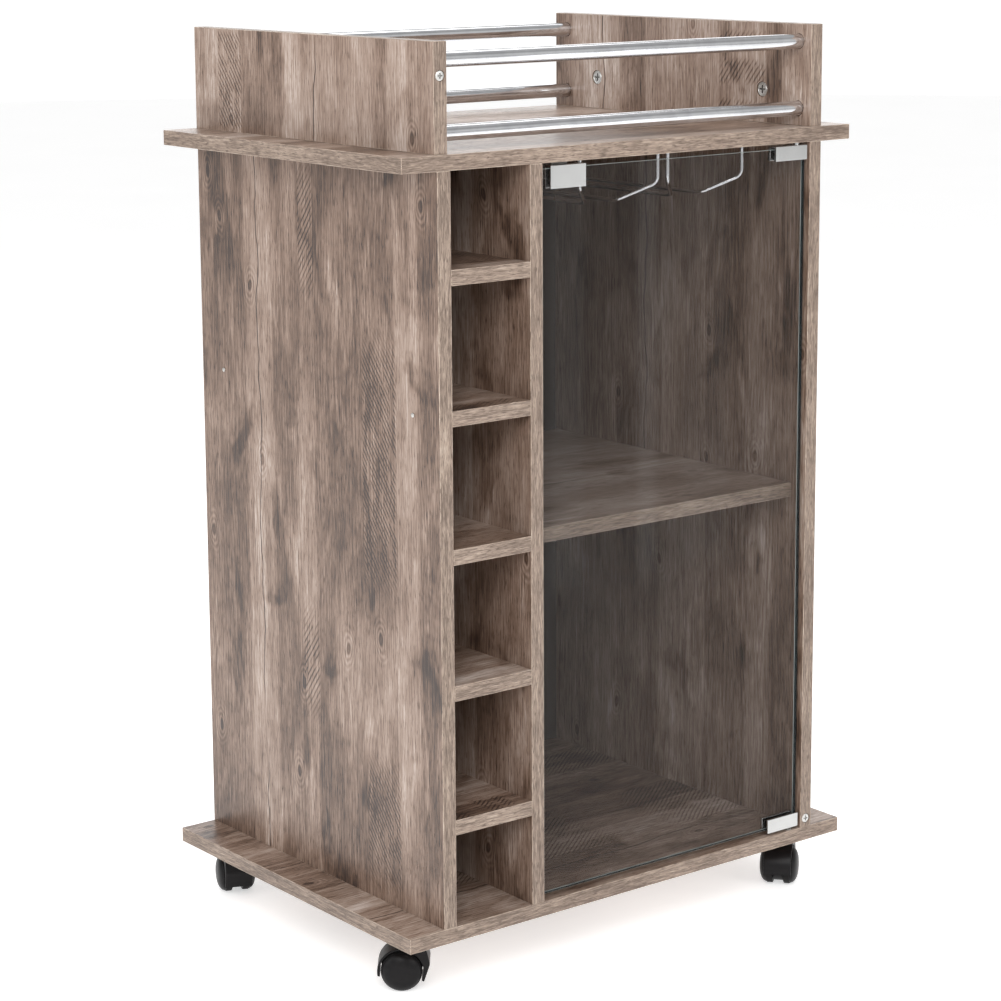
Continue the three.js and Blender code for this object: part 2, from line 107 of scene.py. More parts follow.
# ---- Building node materials ----
class Shade:
    """One node material in the making: most methods add a node and return its output."""

    def __init__(self, name):
        self.material = bpy.data.materials.new(name)
        self.material.use_nodes = True
        self.tree = self.material.node_tree
        self.surface = self.tree.nodes["Principled BSDF"]
        self.place = self.node("TexCoord").outputs["Object"]

    def node(self, kind, inputs=None, **settings):
        node = self.tree.nodes.new("ShaderNode" + kind)
        for key, value in settings.items():
            setattr(node, key, value)
        for key, value in (inputs or {}).items():
            self.feed(node.inputs[key], value)
        return node

    def feed(self, socket, value):
        if isinstance(value, bpy.types.NodeSocket):
            self.tree.links.new(value, socket)
        else:
            socket.default_value = value

    def set(self, **values):
        """Sets the surface's inputs by name, with _ for each space."""
        for key, value in values.items():
            self.feed(self.surface.inputs[key.replace("_", " ")], value)
        return self

    def math(self, operation, a, b=0.0, c=0.0):
        return self.node("Math", {0: a, 1: b, 2: c}, operation=operation).outputs[0]

    def axes(self):
        return self.node("SeparateXYZ", {0: self.place}).outputs

    def point(self, x, y, z=0.0):
        return self.node("CombineXYZ", {0: x, 1: y, 2: z}).outputs[0]

    def stretched(self, point, scale, shift=(0, 0, 0)):
        """A point times a scale, plus a shift."""
        inputs = {0: point, 1: scale, 2: shift}
        return self.node("VectorMath", inputs, operation="MULTIPLY_ADD").outputs[0]

    def noise(self, point, detail=2.0, roughness=0.5, distortion=0.0):
        inputs = {"Vector": point, "Scale": 1.0, "Detail": detail, "Roughness": roughness,
                  "Distortion": distortion}
        return self.node("TexNoise", inputs).outputs[0]

    def place_noise(self, scale, detail=2.0, roughness=0.5):
        return self.noise(self.stretched(self.place, scale), detail, roughness)

    def cells(self, point):
        """Flat Voronoi cells: the distance to the nearest centre, and a colour of the cell's own."""
        return self.node("TexVoronoi", {"Vector": point, "Scale": 1.0}, voronoi_dimensions="2D").outputs

    def channels(self, colour):
        return self.node("SeparateColor", {0: colour}).outputs

    def band(self, value, low, high, bottom=0.0, top=1.0):
        """Goes smoothly from bottom to top as value goes from low to high."""
        inputs = {"Value": value, "From Min": low, "From Max": high, "To Min": bottom, "To Max": top}
        return self.node("MapRange", inputs, interpolation_type="SMOOTHSTEP").outputs[0]

    def ramp(self, value, stops):
        """The colour at a value between stops of (position, colour)."""
        node = self.node("ValToRGB", {0: value})
        points = node.color_ramp.elements
        while len(points) < len(stops):
            points.new(1.0)
        for point, (position, colour) in zip(points, stops):
            point.position = position
            point.color = colour
        return node.outputs[0]

    def total(self, *terms):
        """The sum of (value, weight) pairs."""
        sum_so_far = 0.0
        for value, weight in terms:
            sum_so_far = self.math("MULTIPLY_ADD", value, weight, sum_so_far)
        return sum_so_far

    def relief(self, height, distance, strength=1.0):
        """Adds a bump of a height to the surface."""
        bump = self.node("Bump", {"Height": height, "Distance": distance, "Strength": strength})
        self.feed(self.surface.inputs["Normal"], bump.outputs[0])
        return self


# ---- Weathered oak: printed laminate on the faces, edge band on the narrow sides ----
OAK_STOPS = [
    (0.0, srgb(54, 42, 37)),
    (0.2, srgb(97, 76, 63)),
    (0.4, srgb(132, 110, 96)),
    (0.6, srgb(159, 139, 126)),
    (0.8, srgb(186, 170, 160)),
    (1.0, srgb(208, 195, 186)),
]
OAK_FLOOR = 1.56  # the sum of the print's layers that takes the darkest colour
# A print's planks across the board: share of the width, tone, and which way the saw marks lean.
LEFT_SIDE_PLANKS = [
    (0.08, 0.32, 0), (0.09, 0.50, 0), (0.13, 0.38, -1), (0.20, 0.33, 0), (0.06, 0.44, 1), (0.12, 0.34, 0),
    (0.12, 0.51, 0), (0.20, 0.35, 0),
]
RIGHT_SIDE_PLANKS = [
    (0.12, 0.46, 0), (0.09, 0.58, 0), (0.16, 0.42, 0), (0.11, 0.52, 0), (0.07, 0.62, 0), (0.18, 0.44, 0),
    (0.10, 0.56, 0), (0.17, 0.48, 0),
]
GALLERY_PLANKS = [
    (0.10, 0.42, 0), (0.08, 0.66, 0), (0.06, 0.46, 0), (0.09, 0.60, 0), (0.20, 0.58, 0), (0.07, 0.70, 0),
    (0.19, 0.38, 0), (0.10, 0.58, -1), (0.11, 0.66, 0),
]
SHELF_PLANKS = [
    (0.16, 0.70, 0), (0.14, 0.62, 0), (0.17, 0.72, 1), (0.09, 0.58, 0), (0.20, 0.68, 0), (0.24, 0.60, 0),
]
# Stretches of saw marks along the grain: from and to (shares of the length), then 1 for each lean.
SIDE_MARKS = [(0.04, 0.18, 0, 1), (0.24, 0.36, 1, 0), (0.45, 0.76, 0, 1), (0.83, 0.98, 1, 0)]
GALLERY_MARKS = [(0.04, 0.96, 1, 1)]
SHELF_MARKS = [(0.02, 0.45, 1, 1)]
SAW_PITCHES = (4.8 * MM, 4.2 * MM)
SAW_SLANT = math.radians(52)


def random_planks(draw):
    """Nine to thirteen planks of uneven width and tone, some with saw marks."""
    widths = [draw.uniform(0.5, 1.7) for _ in range(draw.randint(9, 13))]
    return [
        (width / sum(widths), draw.uniform(0.34, 0.66), draw.choice([0, 0, 0, 1, -1]))
        for width in widths
    ]


def random_marks(draw):
    """Three stretches of saw marks along the grain."""
    starts = [draw.uniform(0.0, 0.25), draw.uniform(0.35, 0.5), draw.uniform(0.65, 0.75)]
    return [(start, start + draw.uniform(0.1, 0.24), draw.randint(0, 1), 1) for start in starts]


def plank_stops(planks):
    """Ramp stops that hold each plank's tone and both leanings of its saw marks in one colour."""
    soft = 0.006
    stops = []
    start = 0.0
    for share, tone, lean in planks:
        colour = (tone, float(lean > 0), float(lean < 0), 1.0)
        stops += [(min(start + soft, 1.0), colour), (max(start + share - soft, 0.0), colour)]
        start += share
    return stops


def mark_stops(marks):
    """Ramp stops along the grain: red where marks of one lean show, green where the other's do."""
    soft = 0.03
    black = (0, 0, 0, 1)
    stops = [(0.0, black)]
    for start, end, left, right in marks:
        colour = (left, right, 0, 1)
        stops += [(max(start - soft, 0.0), black), (start + soft, colour), (end - soft, colour),
                  (min(end + soft, 1.0), black)]
    return sorted(stops, key=lambda stop: stop[0])


def oak_face(name, low, high, grain, across, planks, marks, crack_share, seed):
    """Laminate print on a board's large faces: grain along one axis, planks across another."""
    shade = Shade(name)
    axis = shade.axes()
    thick = 3 - grain - across
    width = high[across] - low[across]
    along_place, across_place = axis[grain], axis[across]
    other_side = shade.math("MULTIPLY", axis[thick], 37.0)  # so that the two faces differ
    point = shade.stretched(
        shade.point(across_place, along_place, other_side), (1, 1, 1), (seed * 1.37, seed * 0.71, 0)
    )

    def print_noise(scale_across, scale_along, detail=2.0, roughness=0.5, distortion=0.0):
        scale = (scale_across, scale_along, 1.0)
        return shade.noise(shade.stretched(point, scale), detail, roughness, distortion)

    # The planks' edges wander a little along the grain.
    wander = shade.math("MULTIPLY_ADD", print_noise(9, 5, 2), 0.008, -0.004)
    wandered = shade.math("ADD", across_place, wander)
    share = shade.math("MULTIPLY_ADD", wandered, 1 / width, -low[across] / width)
    tone, *leans = shade.channels(shade.ramp(share, plank_stops(planks)))

    blotch = print_noise(22, 7, 4, 0.6, 0.8)
    cloud = print_noise(8, 5, 3, 0.55)
    streak = print_noise(130, 4.5, 4, 0.65)
    fibre = print_noise(430, 16, 4, 0.7, 0.2)
    fine = print_noise(850, 55, 2, 0.6)
    pores = shade.band(print_noise(1000, 75, 2, 0.6), 0.56, 0.66)

    # Whitewash left in the grain: pale patches broken up by fibres.
    washed = shade.band(print_noise(30, 7, 4, 0.62, 1.0), 0.52, 0.70)
    washed = shade.math("MULTIPLY", washed, shade.band(fibre, 0.34, 0.62))
    smudge = shade.band(print_noise(20, 9, 3, 0.6, 0.6), 0.56, 0.74)

    # Growth rings: fine lines that a slow noise bends into long arches.
    bend = print_noise(8, 2.2, 3)
    rings = shade.math("SINE", shade.total((across_place, 1500.0), (bend, 90.0)))

    # Saw marks: short slanting lines on some planks, over some stretches.
    length = high[grain] - low[grain]
    along_share = shade.math("MULTIPLY_ADD", along_place, 1 / length, -low[grain] / length)
    stretches = shade.channels(shade.ramp(along_share, mark_stops(marks)))
    cuts = 0.0
    for side, pitch, leaning, stretch in zip((1, -1), SAW_PITCHES, leans, stretches):
        phase = shade.total(
            (across_place, 2 * math.pi / pitch * math.sin(SAW_SLANT) * side),
            (along_place, 2 * math.pi / pitch * math.cos(SAW_SLANT)),
            (print_noise(40, 16, 1), 3.0),
        )
        line = shade.band(shade.math("SINE", phase), 0.1, 0.75)
        line = shade.math("MULTIPLY", line, leaning)
        cuts = shade.math("MULTIPLY_ADD", line, stretch, cuts)
    cuts = shade.math("MULTIPLY", cuts, shade.band(print_noise(90, 45, 2), 0.32, 0.5))

    # One long thin crack that wanders along the grain and fades in and out.
    drift = shade.math("MULTIPLY_ADD", print_noise(1.0, 9, 3), 0.03, -0.015)
    crack_place = low[across] + crack_share * width
    off = shade.math("ABSOLUTE", shade.total((across_place, 1.0), (drift, 1.0), (1.0, -crack_place)))
    crack = shade.band(off, 0.35 * MM, 1.1 * MM, 1.0, 0.0)
    crack = shade.math("MULTIPLY", crack, shade.band(print_noise(2.0, 4.5, 1), 0.28, 0.4))
    beside = shade.band(off, 2 * MM, 14 * MM, 1.0, 0.0)

    # Small knots: a dark heart in uneven rings.
    uneven = shade.math("MULTIPLY", blotch, 0.02)
    bent = shade.node("VectorMath", {0: point, 1: shade.point(drift, uneven)}, operation="ADD").outputs[0]
    from_centre, cell_colour = shade.cells(shade.stretched(bent, (14, 7.5, 0)))[:2]
    rare = shade.band(shade.channels(cell_colour)[0], 0.6, 0.66)
    heart = shade.math("MULTIPLY", shade.band(from_centre, 0.01, 0.07, 1.0, 0.0), rare)
    near = shade.math("MULTIPLY", shade.band(from_centre, 0.08, 0.24, 1.0, 0.0), rare)
    swirl = shade.math("MULTIPLY", shade.math("SINE", shade.math("MULTIPLY", from_centre, 130.0)), near)

    value = shade.total(
        (tone, 1.1), (blotch, 0.8), (cloud, 0.62), (streak, 0.36), (fibre, 0.62), (fine, 0.55),
        (rings, 0.04), (pores, -0.24), (washed, 0.24), (smudge, -0.28), (cuts, -0.36), (crack, -0.6),
        (beside, 0.07), (heart, -0.34), (near, 0.05), (swirl, 0.1),
    )
    value = shade.math("ADD", value, -OAK_FLOOR)
    shade.set(Base_Color=shade.ramp(value, OAK_STOPS))
    shade.set(Roughness=shade.total((streak, 0.16), (pores, 0.12), (blotch, 0.1), (1.0, 0.2)))
    height = shade.total((fine, 0.6), (fibre, 0.5), (pores, -0.8), (cuts, -0.6), (crack, -1.0))
    return shade.relief(height, 0.12 * MM, 0.8).material


def oak_edge(name, thick, seed, light):
    """Edge band on a board's narrow sides, or the paler line along its arrises."""
    shade = Shade(name)
    axis = shade.axes()
    in_plane = [i for i in range(3) if i != thick]
    length = shade.math("ADD", axis[in_plane[0]], axis[in_plane[1]])
    shift = (seed * 0.9, seed * 1.9, 0)
    point = shade.stretched(shade.point(axis[thick], length), (1, 1, 1), shift)
    streak = shade.noise(shade.stretched(point, (330, 18, 1)), 4, 0.65)
    fine = shade.noise(shade.stretched(point, (1000, 75, 1)), 3, 0.65)
    cloud = shade.noise(shade.stretched(point, (8, 9, 1)), 3)
    pores = shade.band(shade.noise(shade.stretched(point, (1100, 110, 1)), 2), 0.56, 0.68)
    value = shade.total((streak, 1.1), (fine, 1.3), (cloud, 0.6), (pores, -0.4), (1.0, light - 1.26))
    stops = [
        (0.0, srgb(96, 80, 69)), (0.35, srgb(143, 125, 111)), (0.6, srgb(172, 155, 140)),
        (0.85, srgb(200, 186, 171)), (1.0, srgb(218, 206, 194)),
    ]
    shade.set(Base_Color=shade.ramp(value, stops), Roughness=shade.total((streak, 0.2), (1.0, 0.34)))
    return shade.relief(shade.total((fine, 0.6), (pores, -0.8)), 0.1 * MM, 0.7).material


def raw_board():
    """Particle board, where a hole is drilled into a panel."""
    shade = Shade("raw_board")
    chips = shade.place_noise((700, 700, 700), 3, 0.7)
    shade.set(Base_Color=shade.ramp(chips, [(0.3, srgb(62, 48, 36)), (0.7, srgb(134, 106, 78))]))
    return shade.set(Roughness=0.85).relief(chips, 0.3 * MM).material


def back_print_painted_shade():
    """Thin hardboard with a matt wood print, its colours kept dark as painted shade at the back of the
    cubbies.
    """
    shade = Shade("back_print_painted_shade")
    axis = shade.axes()
    point = shade.point(axis[X], axis[Z], 3.0)
    streak = shade.noise(shade.stretched(point, (140, 4, 1)), 4, 0.65)
    fine = shade.noise(shade.stretched(point, (700, 16, 1)), 3)
    cloud = shade.noise(shade.stretched(point, (14, 3, 1)), 3)
    value = shade.total((streak, 0.5), (fine, 0.3), (cloud, 0.5), (1.0, -0.15))
    # Dark stops: the wood print with painted shade for the depths of the cubbies.
    stops = [(0.2, srgb(42, 35, 32)), (0.5, srgb(64, 54, 49)), (0.8, srgb(90, 78, 71))]
    shade.set(Base_Color=shade.ramp(value, stops), Roughness=shade.total((streak, 0.2), (1.0, 0.55)))
    return shade.relief(fine, 0.08 * MM, 0.6).material


# ---- Metal, plastic and glass ----
def metal(name, colour, dull, roughness, spread, relief):
    """Plated metal: faint stains in the colour, and polish that varies in fine marks."""
    shade = Shade(name)
    stain = shade.place_noise((45, 45, 45), 4, 0.6)
    marks = shade.place_noise((240, 900, 900), 3, 0.6)
    shade.set(Base_Color=shade.ramp(stain, [(0.3, dull), (0.65, colour)]), Metallic=1.0)
    shade.set(Roughness=shade.total((stain, spread), (marks, spread), (1.0, roughness)))
    return shade.relief(marks, relief, 0.5).material


def plastic(name, dark, light, roughness, relief):
    """Moulded plastic with a fine spark-eroded grain and slightly uneven gloss."""
    shade = Shade(name)
    grain = shade.place_noise((1900, 1900, 1900))
    scuff = shade.place_noise((90, 90, 260), 4, 0.65)
    value = shade.total((grain, 0.35), (scuff, 0.65))
    shade.set(Base_Color=shade.ramp(value, [(0.3, dark), (0.7, light)]))
    shade.set(Roughness=shade.total((scuff, 0.22), (grain, 0.1), (1.0, roughness)), IOR=1.27)
    return shade.relief(grain, relief, 0.6).material


def smoked_glass(name, colour_low, colour_high, alpha, roughness):
    """Tinted glass as a thin see-through skin, with faint smears and waves."""
    shade = Shade(name)
    smear = shade.place_noise((26, 26, 3.5), 4, 0.6)
    shade.set(Base_Color=shade.ramp(smear, [(0.3, colour_low), (0.7, colour_high)]))
    shade.set(Roughness=shade.total((smear, roughness), (1.0, roughness / 2)))
    wave = shade.place_noise((9, 9, 4), 1)
    return shade.set(Alpha=alpha, IOR=1.52).relief(wave, 0.15 * MM, 0.3).material


CHROME = metal("chrome", srgb(228, 229, 231), srgb(212, 213, 216), 0.045, 0.05, 0.004 * MM)
SATIN_CHROME = metal("satin_chrome", srgb(194, 194, 193), srgb(188, 188, 187), 0.14, 0.05, 0.004 * MM)
NICKEL = metal("nickel_steel", srgb(216, 215, 212), srgb(190, 188, 184), 0.22, 0.14, 0.02 * MM)
# Darker, rougher metal on the faces of screw slots, sockets and holes: painted shade in these recesses.
SHADED_RECESS_METAL = metal("recess_metal_painted_shade", srgb(168, 166, 163), srgb(130, 128, 125), 0.4, 0.1, 0.02 * MM)
BLACK = plastic("black_plastic", srgb(11, 10, 11), srgb(27, 25, 26), 0.22, 0.02 * MM)
BLACK_TREAD = plastic("black_tread", srgb(14, 13, 13), srgb(30, 28, 28), 0.5, 0.05 * MM)
GREY = plastic("grey_plastic", srgb(168, 166, 163), srgb(190, 188, 184), 0.32, 0.02 * MM)
GLASS = smoked_glass("smoked_glass", srgb(34, 31, 29), srgb(46, 43, 40), 0.17, 0.02)
GLASS_EDGE = smoked_glass("glass_edge", srgb(16, 26, 30), srgb(34, 52, 56), 0.92, 0.14)
GLASS_ARRIS = smoked_glass("glass_arris", srgb(120, 130, 130), srgb(170, 178, 176), 0.75, 0.2)
RAW = raw_board()
BACKING = back_print_painted_shade()


# ---- Mesh work ----
speck = 0.002 * MM
tiny = 1e-7
smooth_below = math.radians(32)


def link(name, mesh):
    piece = bpy.data.objects.new(name, mesh)
    bpy.context.scene.collection.objects.link(piece)
    return piece


def to_mesh(name, work):
    bmesh.ops.recalc_face_normals(work, faces=work.faces)
    mesh = bpy.data.meshes.new(name)
    work.to_mesh(mesh)
    work.free()
    return mesh


def finished(node, mesh, materials, flat_sides=False):
    """The shown piece of a node: it rides where the node does and stands for it."""
    work = bmesh.new()
    work.from_mesh(mesh)
    bmesh.ops.remove_doubles(work, verts=work.verts, dist=speck)
    bmesh.ops.dissolve_degenerate(work, dist=speck, edges=work.edges)
    many_sided = [face for face in work.faces if len(face.verts) > 4]
    bmesh.ops.triangulate(work, faces=many_sided, ngon_method="EAR_CLIP")
    mesh = bpy.data.meshes.new(node + "_look")
    work.to_mesh(mesh)
    work.free()
    for material in materials:
        mesh.materials.append(material)
    mesh.shade_smooth()
    mesh.set_sharp_from_angle(angle=smooth_below)
    piece = link(node + "_look", mesh)
    if flat_sides:
        even = piece.modifiers.new("even_shading", "WEIGHTED_NORMAL")
        even.weight = 100
        even.keep_sharp = True
    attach(piece, frame["nodes"][node]["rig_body"])
    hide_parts(node)


def rounded(work, edges, radius, segments):
    bmesh.ops.bevel(work, geom=edges, offset=radius, segments=segments, profile=0.5, affect="EDGES")


def block(low, high, bevel=0.0, segments=2):
    """A box between two corners with rounded arrises."""
    work = bmesh.new()
    bmesh.ops.create_cube(work, size=1.0)
    size = Vector(high) - Vector(low)
    for vert in work.verts:
        vert.co = Vector(low) + Vector([(vert.co[i] + 0.5) * size[i] for i in range(3)])
    if bevel:
        rounded(work, work.edges[:], bevel, segments)
    return to_mesh("block", work)


def lathe(profile, origin, axis, sides=48):
    """Turns a profile of (radius, distance along the axis) that starts and ends on the axis."""
    work = bmesh.new()
    direction = Vector(axis).normalized()
    side = direction.orthogonal().normalized()
    other = direction.cross(side)
    rings = []
    for radius, along in profile:
        centre = Vector(origin) + direction * along
        count = sides if radius > tiny else 1
        turns = [2 * math.pi * i / sides for i in range(count)]
        rings.append([
            work.verts.new(centre + radius * (math.cos(t) * side + math.sin(t) * other)) for t in turns
        ])
    for first, second in zip(rings, rings[1:]):
        for i in range(sides):
            corners = [first[i % len(first)], first[(i + 1) % len(first)],
                       second[(i + 1) % len(second)], second[i % len(second)]]
            corners = list(dict.fromkeys(corners))
            if len(corners) > 2:
                work.faces.new(corners)
    return to_mesh("lathe", work)


def rod(radius, start, end, axis, origin, bevel, sides=48):
    """A round bar along an axis with chamfered ends."""
    profile = [(0, start), (radius - bevel, start), (radius, start + bevel), (radius, end - bevel),
               (radius - bevel, end), (0, end)]
    return lathe(profile, origin, axis, sides)


def drawn_out(corners, move):
    """The solid that a flat outline sweeps as it moves, still open to edits."""
    work = bmesh.new()
    face = work.faces.new([work.verts.new(corner) for corner in corners])
    swept = bmesh.ops.extrude_face_region(work, geom=[face])["geom"]
    moved = [item for item in swept if isinstance(item, bmesh.types.BMVert)]
    bmesh.ops.translate(work, verts=moved, vec=move)
    return work


def slab(outline, depth, bevel, segments=2):
    """An outline of (x, z) points, given a thickness centred on y = 0 and rounded rims."""
    work = drawn_out([(x, -depth / 2, z) for x, z in outline], (0, depth, 0))
    rims = [edge for edge in work.edges if abs(edge.verts[0].co.y - edge.verts[1].co.y) < tiny]
    rounded(work, rims, bevel, segments)
    return to_mesh("slab", work)


def sorted_faces(mesh, thick):
    """Material 0 on a panel's two large faces, 1 on its narrow sides and 2 on its arrises."""
    for face in mesh.polygons:
        along = max(range(3), key=lambda i: abs(face.normal[i]))
        square = abs(face.normal[along]) > 0.999
        face.material_index = (0 if along == thick else 1) if square else 2
    return mesh


def set_material(mesh, index):
    for face in mesh.polygons:
        face.material_index = index
    return mesh


def combined(base, tools, operation="DIFFERENCE"):
    """The first mesh cut by the others, or joined to them; a cut's new faces keep the tool's material."""
    # With four materials on every mesh, the cut keeps the faces' numbers.
    stand_ins = [CHROME] * 4
    for mesh in (base, *tools):
        for material in stand_ins[len(mesh.materials):]:
            mesh.materials.append(material)
    body = link("body", base)
    tool_objects = [link("tool", tool) for tool in tools]
    for tool in tool_objects:
        change = body.modifiers.new("change", "BOOLEAN")
        change.operation = operation
        change.solver = "EXACT"
        change.object = tool
    shape = bpy.data.meshes.new_from_object(body.evaluated_get(bpy.context.evaluated_depsgraph_get()))
    for used in (body, *tool_objects):
        bpy.data.objects.remove(used)
    numbers = [face.material_index for face in shape.polygons]
    shape.materials.clear()
    shape.polygons.foreach_set("material_index", numbers)
    return shape


def cross_slots(axis, face, centre, length, width, depth):
    """The two crossed slots of a screw head, to be cut from a face that looks along an axis."""
    tools = []
    across = [i for i in range(3) if i != axis]
    for u, v in ((length, width), (width, length)):
        low, high = Vector(centre), Vector(centre)
        low[axis], high[axis] = face - depth, face + depth
        low[across[0]], high[across[0]] = centre[across[0]] - u / 2, centre[across[0]] + u / 2
        low[across[1]], high[across[1]] = centre[across[1]] - v / 2, centre[across[1]] + v / 2
        tools.append(set_material(block(low, high), 1))
    return tools


# ---- Boards ----
arris = 0.55 * MM
seat_gap = 0.3 * MM
wire_radius = 2 * MM
screw_shank = 2 * MM
side_pin_shank, side_pin_hole = 1.2 * MM, 1.5 * MM


def hole(axis, mouth, into, centre, steps):
    """A stepped hole from the mouth of a face: steps are (radius, depth) from the widest inwards."""
    start = -1 * MM
    profile = [(0, start)]
    for radius, depth in steps:
        profile += [(radius, start), (radius, depth)]
        start = depth
    profile.append((0, start))
    origin = Vector(centre)
    origin[axis] = mouth
    return set_material(lathe(profile, origin, AXES[axis] * into), 3)


def make_board(node, seed, planks=None, marks=None, crack_share=None, holes=()):
    """A bevelled panel: print on its two large faces, edge band on the others, paler arrises."""
    low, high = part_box(node)
    size = high - low
    thick = min(range(3), key=lambda i: size[i])
    grain = X if thick == Z else Z
    across = 3 - thick - grain
    mesh = sorted_faces(block(low, high, arris), thick)
    if holes:
        mesh = combined(mesh, holes)
    draw = random.Random(seed)
    planks = planks or random_planks(draw)
    marks = marks or random_marks(draw)
    crack_share = crack_share or draw.uniform(0.15, 0.85)
    materials = [
        oak_face(node + "_print", low, high, grain, across, planks, marks, crack_share, seed),
        oak_edge(node + "_edge_band", thick, seed, 0.0),
        oak_edge(node + "_arris", thick, seed + 0.5, 0.24),
        RAW,
    ]
    finished(node, mesh, materials, flat_sides=True)


def centre_of(node):
    low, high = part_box(node)
    return (low + high) / 2


def pivot_hole(level, into):
    low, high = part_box("pivot_bush_" + level)
    mouth = high.z if into < 0 else low.z
    steps = [((high.x - low.x) / 2 + seat_gap, high.z - low.z + seat_gap)]
    return hole(Z, mouth, into, (low + high) / 2, steps)


def screw_hole(node):
    """The counterbore and shank hole of an edge screw."""
    low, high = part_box(node)
    head = (high.x - low.x) / 2
    steps = [(head + seat_gap, 1.7 * MM), (screw_shank + seat_gap, high.y - low.y + seat_gap)]
    return hole(Y, low.y, 1, (low + high) / 2, steps)


def wire_holes():
    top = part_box("top_board")[0].z
    holes = []
    for side in ("left", "right"):
        low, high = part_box("stemware_hanger_" + side)
        for x in (low.x + wire_radius, high.x - wire_radius):
            place = (x, low.y + wire_radius, top)
            holes.append(hole(Z, top, 1, place, [(wire_radius + seat_gap, high.z - top + seat_gap)]))
    return holes


def shelf_pin_holes(side, mouth, into):
    holes = []
    for end in ("front", "rear"):
        low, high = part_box(f"shelf_pin_{side}_{end}")
        steps = [((high.z - low.z) / 2 + seat_gap, (high.x - low.x) / 2 + seat_gap)]
        holes.append(hole(X, mouth, into, (low + high) / 2, steps))
    return holes


def gallery_holes(side, into):
    """Seats for the four rails and pockets for the two cam locks, from the inner face."""
    low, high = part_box("gallery_panel_" + side)
    mouth = low.x if into > 0 else high.x
    holes = []
    for end in ("front", "rear"):
        for node in (f"rail_{end}_lower", f"rail_{end}_upper", f"cam_lock_{side}_{end}"):
            low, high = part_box(node)
            reach = abs((high if into > 0 else low).x - mouth)
            steps = [((high.z - low.z) / 2 + seat_gap, reach + seat_gap)]
            holes.append(hole(X, mouth, into, (low + high) / 2, steps))
    return holes


def side_pin_holes(depth_from):
    holes = []
    for end in ("front", "rear"):
        low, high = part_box("side_pin_" + end)
        steps = [(side_pin_hole, high.x - depth_from + seat_gap)]
        holes.append(hole(X, depth_from, 1, (low + high) / 2, steps))
    return holes


def make_boards():
    left_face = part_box("left_side_panel")[0].x
    right_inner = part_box("right_side_panel")[0].x
    divider_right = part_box("divider_panel")[1].x
    make_board("base_board", 11.0, holes=[pivot_hole("lower", -1)])
    make_board("top_board", 12.0, holes=[pivot_hole("upper", 1), *wire_holes()])
    make_board("left_side_panel", 13.0, LEFT_SIDE_PLANKS, SIDE_MARKS, 0.74, side_pin_holes(left_face))
    right_holes = [screw_hole("edge_screw_side"), *shelf_pin_holes("right", right_inner, 1)]
    make_board("right_side_panel", 14.0, RIGHT_SIDE_PLANKS, SIDE_MARKS, 0.62, right_holes)
    make_board("divider_panel", 15.0, holes=shelf_pin_holes("left", divider_right, -1))
    make_board("cabinet_shelf", 16.0, SHELF_PLANKS, SHELF_MARKS, 0.4)
    pinned_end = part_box("bottle_shelf_2")[0].x
    for row in range(1, 6):
        holes = side_pin_holes(pinned_end) if row == 2 else ()
        make_board(f"bottle_shelf_{row}", 16.0 + row, holes=holes)
    left_holes = [*gallery_holes("left", -1), screw_hole("edge_screw_gallery")]
    make_board("gallery_panel_left", 23.0, GALLERY_PLANKS, GALLERY_MARKS, 0.47, left_holes)
    make_board("gallery_panel_right", 24.0, holes=gallery_holes("right", 1))
    back = block(*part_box("back_panel"), 0.3 * MM, 1)
    finished("back_panel", back, [BACKING], flat_sides=True)


make_boards()


# ---- Rails, cam locks, pins and screws ----
def make_rails():
    for end in ("front", "rear"):
        for level in ("lower", "upper"):
            node = f"rail_{end}_{level}"
            low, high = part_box(node)
            radius = (high.z - low.z) / 2
            origin = (0, (low.y + high.y) / 2, (low.z + high.z) / 2)
            tube = rod(radius, low.x, high.x, AXES[X], origin, 0.8 * MM, 72)
            finished(node, tube, [CHROME], flat_sides=True)


def make_cams():
    for side, into in (("left", -1), ("right", 1)):
        for end in ("front", "rear"):
            node = f"cam_lock_{side}_{end}"
            low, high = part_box(node)
            radius = (high.z - low.z) / 2
            centre = (low + high) / 2
            face = high.x if into < 0 else low.x
            origin = Vector((face, centre.y, centre.z))
            depth = high.x - low.x
            profile = [
                (0, 0), (radius * 0.74, 0), (radius * 0.77, 0.3 * MM), (radius * 0.82, 0.3 * MM),
                (radius * 0.85, 0), (radius * 0.94, 0), (radius, 0.5 * MM), (radius, depth - 0.4 * MM),
                (radius - 0.4 * MM, depth), (0, depth),
            ]
            disc = lathe(profile, origin, AXES[X] * into, 64)
            slots = cross_slots(X, face, centre, 8.5 * MM, 1.8 * MM, 2.4 * MM)
            finished(node, combined(disc, slots), [NICKEL, SHADED_RECESS_METAL], flat_sides=True)


def make_edge_screws():
    for node in ("edge_screw_gallery", "edge_screw_side"):
        low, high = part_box(node)
        radius = (high.x - low.x) / 2
        centre = (low + high) / 2
        length = high.y - low.y
        thickness = 1.4 * MM
        head = [
            (0, 0), (radius * 0.72, 0), (radius * 0.92, 0.18 * MM), (radius, 0.5 * MM),
            (radius, thickness), (screw_shank, thickness), (screw_shank, length - 1.5 * MM),
            (0.4 * MM, length), (0, length),
        ]
        solid = lathe(head, (centre.x, low.y, centre.z), AXES[Y], 56)
        slots = cross_slots(Y, low.y, centre, 5.4 * MM, 1.3 * MM, 0.9 * MM)
        finished(node, combined(solid, slots), [NICKEL, SHADED_RECESS_METAL], flat_sides=True)


